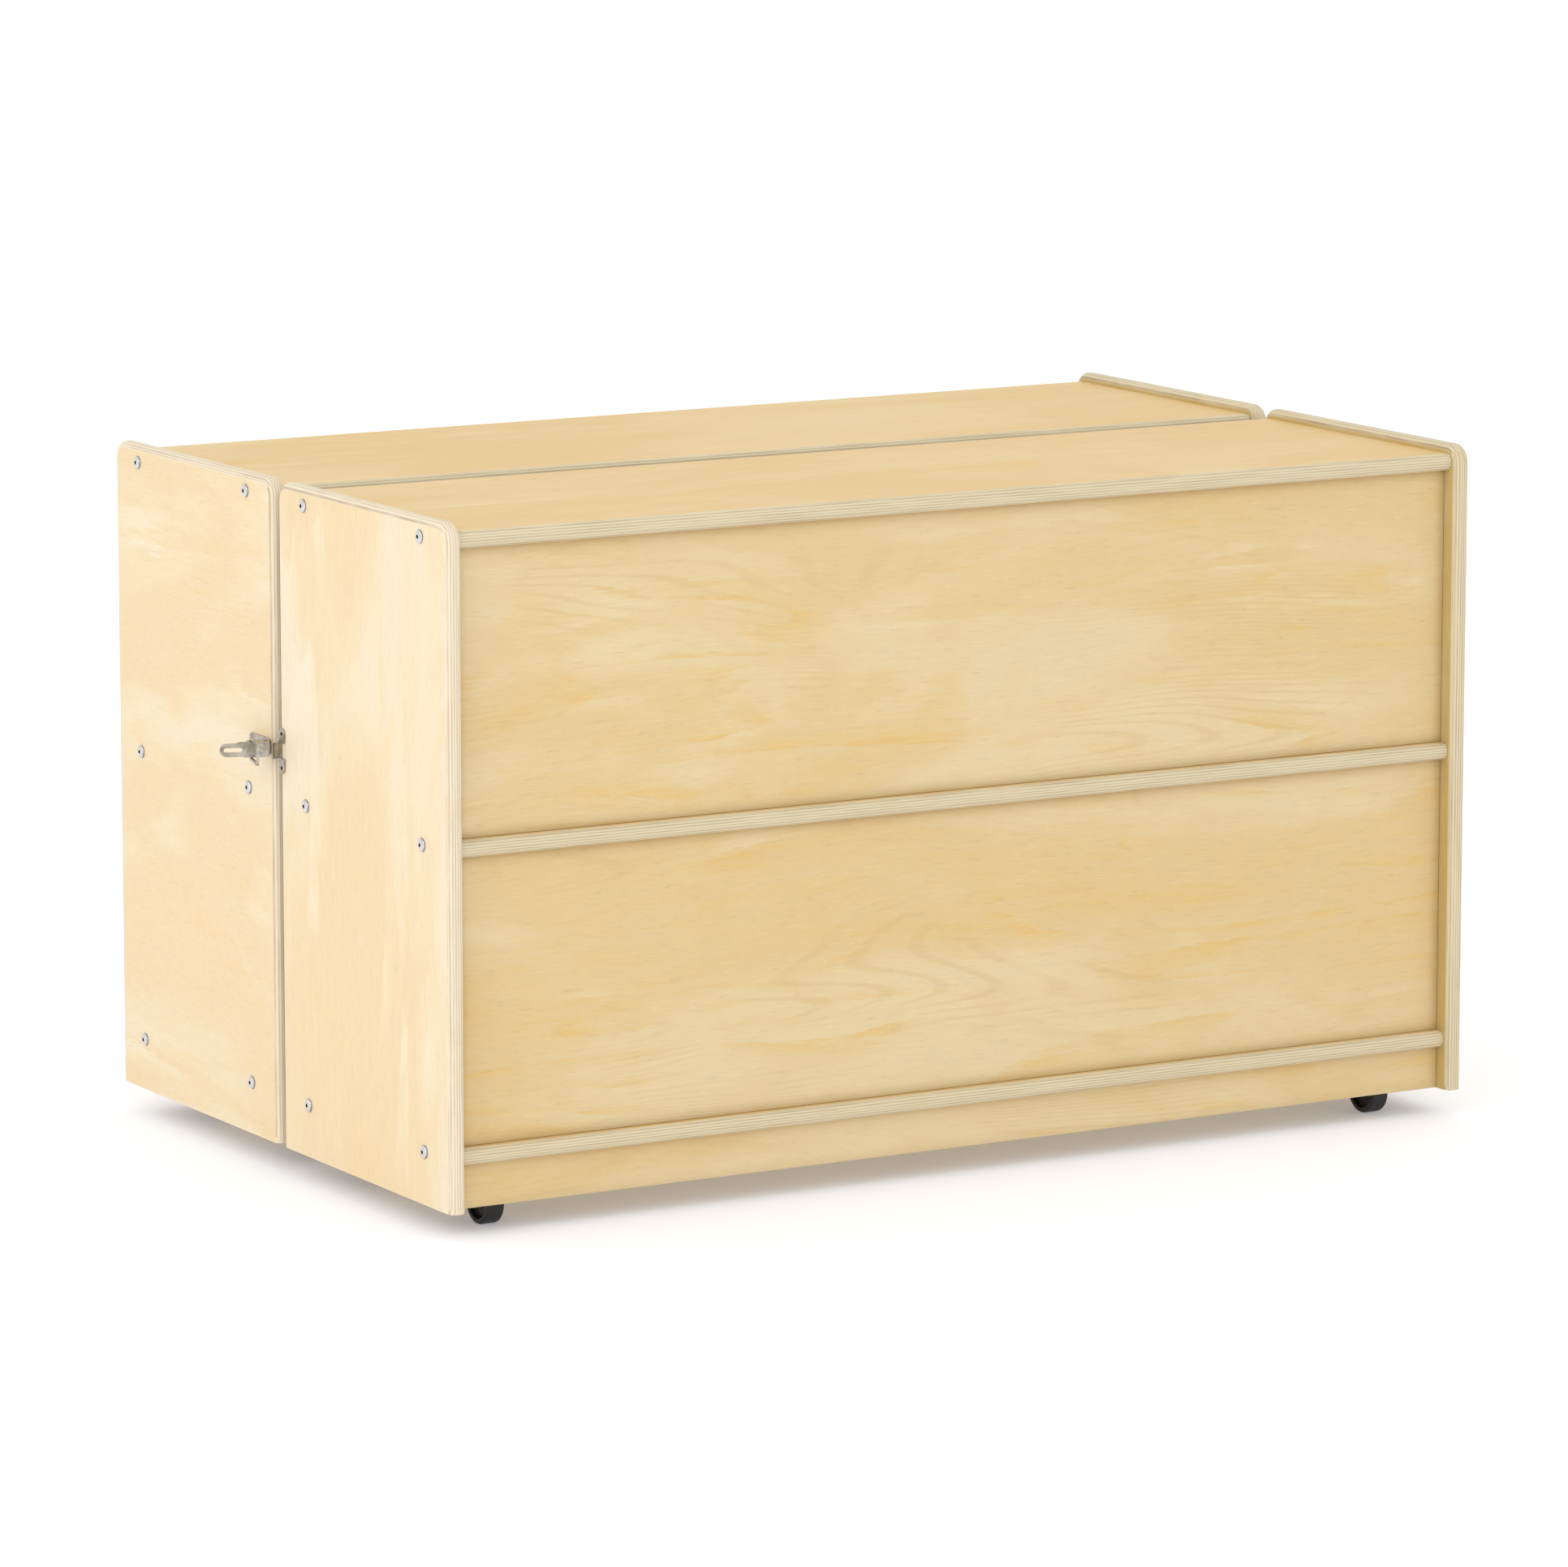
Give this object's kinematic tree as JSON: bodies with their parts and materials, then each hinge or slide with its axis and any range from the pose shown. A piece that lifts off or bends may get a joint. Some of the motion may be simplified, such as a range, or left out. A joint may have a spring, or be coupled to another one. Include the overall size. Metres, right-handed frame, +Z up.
{
  "type": "folding mobile storage cabinet",
  "caption": "Low birch plywood storage cabinet on casters: two shelved halves hinged face to face, shut by a toggle latch.",
  "frame": {"origin": "on the floor, under the middle of the whole object's box, latch lever and hinge knuckles included", "axes": "+X along the cabinet from the latch end to the hinge end, +Y across it from the near half to the far half, +Z up"},
  "size_m": [1.2838, 0.76, 0.724],
  "materials": {
    "birch_plywood": "clear satin lacquer over pale birch, plies showing at the rounded edges",
    "black_steel": "black powder coat",
    "black_rubber": "moulded, satin",
    "zinc_plate": "bright zinc plate",
    "satin_steel": "satin nickel-plated pressed steel"
  },
  "bodies": {
    "far_half": {"far_side_left": "birch_plywood", "far_side_right": "birch_plywood", "far_top_board": "birch_plywood", "far_middle_shelf": "birch_plywood", "far_bottom_shelf": "birch_plywood", "far_back_upper": "birch_plywood", "far_back_lower": "birch_plywood", "far_kick_board": "birch_plywood", "caster_far_outer_left_plate": "zinc_plate", "caster_far_outer_right_plate": "zinc_plate", "caster_far_inner_left_plate": "zinc_plate", "caster_far_inner_right_plate": "zinc_plate", "hinge_lower_far_leaf": "satin_steel", "hinge_lower_pin": "satin_steel", "hinge_upper_far_leaf": "satin_steel", "hinge_upper_pin": "satin_steel", "latch_base": "satin_steel", "latch_pin": "satin_steel"},
    "near_half": {"near_side_left": "birch_plywood", "near_side_right": "birch_plywood", "near_top_board": "birch_plywood", "near_middle_shelf": "birch_plywood", "near_bottom_shelf": "birch_plywood", "near_back_upper": "birch_plywood", "near_back_lower": "birch_plywood", "near_kick_board": "birch_plywood", "caster_near_outer_left_plate": "zinc_plate", "caster_near_outer_right_plate": "zinc_plate", "caster_near_inner_left_plate": "zinc_plate", "caster_near_inner_right_plate": "zinc_plate", "hinge_lower_near_leaf": "satin_steel", "hinge_upper_near_leaf": "satin_steel", "latch_keeper": "satin_steel"},
    "caster_near_outer_left_swivel": {"caster_near_outer_left_fork": "black_steel", "caster_near_outer_left_axle": "zinc_plate"},
    "caster_near_outer_left_roller": {"caster_near_outer_left_wheel": "black_rubber"},
    "caster_near_outer_right_swivel": {"caster_near_outer_right_fork": "black_steel", "caster_near_outer_right_axle": "zinc_plate"},
    "caster_near_outer_right_roller": {"caster_near_outer_right_wheel": "black_rubber"},
    "caster_near_inner_left_swivel": {"caster_near_inner_left_fork": "black_steel", "caster_near_inner_left_axle": "zinc_plate"},
    "caster_near_inner_left_roller": {"caster_near_inner_left_wheel": "black_rubber"},
    "caster_near_inner_right_swivel": {"caster_near_inner_right_fork": "black_steel", "caster_near_inner_right_axle": "zinc_plate"},
    "caster_near_inner_right_roller": {"caster_near_inner_right_wheel": "black_rubber"},
    "caster_far_outer_left_swivel": {"caster_far_outer_left_fork": "black_steel", "caster_far_outer_left_axle": "zinc_plate"},
    "caster_far_outer_left_roller": {"caster_far_outer_left_wheel": "black_rubber"},
    "caster_far_outer_right_swivel": {"caster_far_outer_right_fork": "black_steel", "caster_far_outer_right_axle": "zinc_plate"},
    "caster_far_outer_right_roller": {"caster_far_outer_right_wheel": "black_rubber"},
    "caster_far_inner_left_swivel": {"caster_far_inner_left_fork": "black_steel", "caster_far_inner_left_axle": "zinc_plate"},
    "caster_far_inner_left_roller": {"caster_far_inner_left_wheel": "black_rubber"},
    "caster_far_inner_right_swivel": {"caster_far_inner_right_fork": "black_steel", "caster_far_inner_right_axle": "zinc_plate"},
    "caster_far_inner_right_roller": {"caster_far_inner_right_wheel": "black_rubber"},
    "latch_lever": {"latch_lever": "satin_steel"},
    "latch_bail": {"latch_bail": "satin_steel"}
  },
  "joints": [
    {"name": "cabinet_hinge", "type": "hinge", "parent": "far_half", "child": "near_half", "pos_m": [0.63774, 0, 0.376], "axis": [0, 0, 1], "range_deg": [0, 180]},
    {"name": "latch_lever_pivot", "type": "hinge", "parent": "far_half", "child": "latch_lever", "pos_m": [-0.59376, 0.01, 0.4455], "axis": [0, 0, 1], "range_deg": [-68, 45]},
    {"name": "latch_bail_pivot", "type": "hinge", "parent": "latch_lever", "child": "latch_bail", "pos_m": [-0.60768, 0.0156, 0.4455], "axis": [0, 0, 1], "range_deg": [-58.5, 88.4]},
    {"name": "caster_near_outer_left_turn", "type": "hinge", "parent": "near_half", "child": "caster_near_outer_left_swivel", "pos_m": [-0.51176, -0.291, 0.065], "axis": [0, 0, 1], "continuous": true},
    {"name": "caster_near_outer_left_roll", "type": "hinge", "parent": "caster_near_outer_left_swivel", "child": "caster_near_outer_left_roller", "pos_m": [-0.51176, -0.311, 0.025], "axis": [1, 0, 0], "continuous": true},
    {"name": "caster_near_outer_right_turn", "type": "hinge", "parent": "near_half", "child": "caster_near_outer_right_swivel", "pos_m": [0.55924, -0.291, 0.065], "axis": [0, 0, 1], "continuous": true},
    {"name": "caster_near_outer_right_roll", "type": "hinge", "parent": "caster_near_outer_right_swivel", "child": "caster_near_outer_right_roller", "pos_m": [0.55924, -0.311, 0.025], "axis": [1, 0, 0], "continuous": true},
    {"name": "caster_near_inner_left_turn", "type": "hinge", "parent": "near_half", "child": "caster_near_inner_left_swivel", "pos_m": [-0.51176, -0.075, 0.065], "axis": [0, 0, 1], "continuous": true},
    {"name": "caster_near_inner_left_roll", "type": "hinge", "parent": "caster_near_inner_left_swivel", "child": "caster_near_inner_left_roller", "pos_m": [-0.51176, -0.095, 0.025], "axis": [1, 0, 0], "continuous": true},
    {"name": "caster_near_inner_right_turn", "type": "hinge", "parent": "near_half", "child": "caster_near_inner_right_swivel", "pos_m": [0.55924, -0.075, 0.065], "axis": [0, 0, 1], "continuous": true},
    {"name": "caster_near_inner_right_roll", "type": "hinge", "parent": "caster_near_inner_right_swivel", "child": "caster_near_inner_right_roller", "pos_m": [0.55924, -0.095, 0.025], "axis": [1, 0, 0], "continuous": true},
    {"name": "caster_far_outer_left_turn", "type": "hinge", "parent": "far_half", "child": "caster_far_outer_left_swivel", "pos_m": [-0.51176, 0.291, 0.065], "axis": [0, 0, 1], "continuous": true},
    {"name": "caster_far_outer_left_roll", "type": "hinge", "parent": "caster_far_outer_left_swivel", "child": "caster_far_outer_left_roller", "pos_m": [-0.51176, 0.271, 0.025], "axis": [1, 0, 0], "continuous": true},
    {"name": "caster_far_outer_right_turn", "type": "hinge", "parent": "far_half", "child": "caster_far_outer_right_swivel", "pos_m": [0.55924, 0.291, 0.065], "axis": [0, 0, 1], "continuous": true},
    {"name": "caster_far_outer_right_roll", "type": "hinge", "parent": "caster_far_outer_right_swivel", "child": "caster_far_outer_right_roller", "pos_m": [0.55924, 0.271, 0.025], "axis": [1, 0, 0], "continuous": true},
    {"name": "caster_far_inner_left_turn", "type": "hinge", "parent": "far_half", "child": "caster_far_inner_left_swivel", "pos_m": [-0.51176, 0.075, 0.065], "axis": [0, 0, 1], "continuous": true},
    {"name": "caster_far_inner_left_roll", "type": "hinge", "parent": "caster_far_inner_left_swivel", "child": "caster_far_inner_left_roller", "pos_m": [-0.51176, 0.055, 0.025], "axis": [1, 0, 0], "continuous": true},
    {"name": "caster_far_inner_right_turn", "type": "hinge", "parent": "far_half", "child": "caster_far_inner_right_swivel", "pos_m": [0.55924, 0.075, 0.065], "axis": [0, 0, 1], "continuous": true},
    {"name": "caster_far_inner_right_roll", "type": "hinge", "parent": "caster_far_inner_right_swivel", "child": "caster_far_inner_right_roller", "pos_m": [0.55924, 0.055, 0.025], "axis": [1, 0, 0], "continuous": true}
  ],
  "couplings": [
    {"joint": "latch_bail_pivot", "follows": "latch_lever_pivot", "ratio": -1.3}
  ]
}
